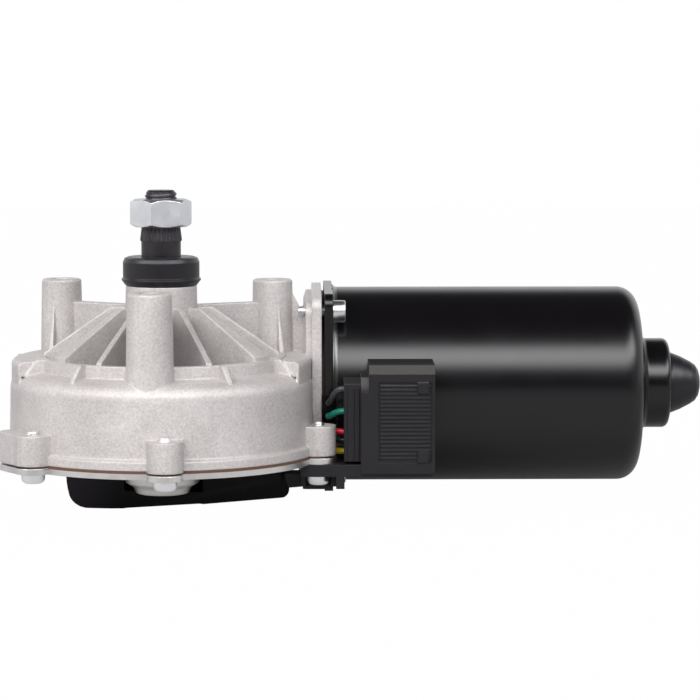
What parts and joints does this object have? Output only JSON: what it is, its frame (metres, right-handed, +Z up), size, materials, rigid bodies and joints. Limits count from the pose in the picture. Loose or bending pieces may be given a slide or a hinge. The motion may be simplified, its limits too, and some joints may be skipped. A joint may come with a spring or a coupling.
{
  "type": "windscreen wiper motor",
  "caption": "Worm gear wiper motor: ribbed cast gear housing with three mounting pillars and a nut on its crank shaft, black motor can to one side, and a side plug connector.",
  "frame": {"origin": "on the output shaft's axis, in the plane of the three mounting faces", "axes": "+Z up along the output shaft, +X along the motor towards its can, -Y towards the side of the plug connector"},
  "size_m": [0.2239, 0.1242, 0.1018],
  "materials": {
    "cast_aluminium": "die cast, satin grain",
    "bronze": "sintered bronze",
    "seal_rubber": "matte moulded rubber",
    "gasket": "brown fibre gasket",
    "zinc_plate": "zinc plated pressing",
    "zinc_fastener": "bright zinc plate",
    "black_plastic": "fine moulded grain",
    "black_paint": "gloss black enamel on deep drawn steel",
    "ferrite": "ground ferrite",
    "spring_steel": "spring steel",
    "bearing_steel": "ground steel",
    "shaft_steel": "ground shaft",
    "oxide_steel": "dark oxide",
    "lamination": "stacked laminations",
    "copper_wire": "enamelled copper",
    "commutator_copper": "turned copper",
    "brush_board": "phenolic board",
    "brass": "pressed brass",
    "carbon": "copper graphite",
    "natural_nylon": "moulded nylon",
    "thrust_plastic": "moulded plastic",
    "connector_plastic": "glass filled nylon",
    "tinned_terminal": "tin plate",
    "lead_grey_pvc": "insulation",
    "lead_green_pvc": "insulation",
    "lead_red_pvc": "insulation",
    "lead_black_pvc": "insulation",
    "lead_yellow_pvc": "insulation"
  },
  "bodies": {
    "housing": {"gear_housing": "cast_aluminium", "output_bushes": "bronze", "worm_end_bush": "bronze", "rear_bearing": "bronze", "shaft_seal": "seal_rubber", "lead_grommet": "seal_rubber", "end_plug": "seal_rubber", "cover_gasket": "gasket", "cover_plate": "zinc_plate", "cover_screws": "zinc_fastener", "yoke_screws": "zinc_fastener", "parking_cover": "black_plastic", "yoke": "black_paint", "field_magnets": "ferrite", "magnet_clips": "spring_steel", "bearing_clip": "spring_steel", "front_bearing": "bearing_steel", "brush_plate": "brush_board", "contact_carrier": "brush_board", "brush_boxes": "brass", "contact_fingers": "brass", "thrust_pad": "thrust_plastic", "connector_housing": "connector_plastic", "terminals": "tinned_terminal", "lead_grey": "lead_grey_pvc", "lead_green": "lead_green_pvc", "lead_red": "lead_red_pvc", "lead_black": "lead_black_pvc", "lead_yellow": "lead_yellow_pvc"},
    "armature": {"armature_shaft": "shaft_steel", "armature_core": "lamination", "armature_windings": "copper_wire", "commutator": "commutator_copper"},
    "output": {"output_shaft": "oxide_steel", "worm_wheel": "natural_nylon", "parking_disc": "brass", "thrust_washer": "spring_steel", "shaft_circlip": "spring_steel", "crank_nut": "zinc_fastener"},
    "brush_a": {"brush_1": "carbon"},
    "brush_b": {"brush_2": "carbon"},
    "brush_c": {"brush_3": "carbon"}
  },
  "joints": [
    {"name": "armature_spin", "type": "hinge", "parent": "housing", "child": "armature", "pos_m": [0, 0.0369, -0.0356], "axis": [1, 0, 0], "continuous": true},
    {"name": "output_spin", "type": "hinge", "parent": "housing", "child": "output", "pos_m": [0, 0, 0], "axis": [0, 0, 1], "continuous": true},
    {"name": "brush_a_slide", "type": "slide", "parent": "housing", "child": "brush_a", "axis": [0, 1, 0], "range_m": [0, 0.002], "stiffness_N_per_m": 400, "springref_m": -0.008},
    {"name": "brush_b_slide", "type": "slide", "parent": "housing", "child": "brush_b", "axis": [0, -0.5, 0.866], "range_m": [0, 0.002], "stiffness_N_per_m": 400, "springref_m": -0.008},
    {"name": "brush_c_slide", "type": "slide", "parent": "housing", "child": "brush_c", "axis": [0, -0.5, -0.866], "range_m": [0, 0.002], "stiffness_N_per_m": 400, "springref_m": -0.008}
  ],
  "couplings": [
    {"joint": "output_spin", "follows": "armature_spin", "ratio": 0.02}
  ]
}
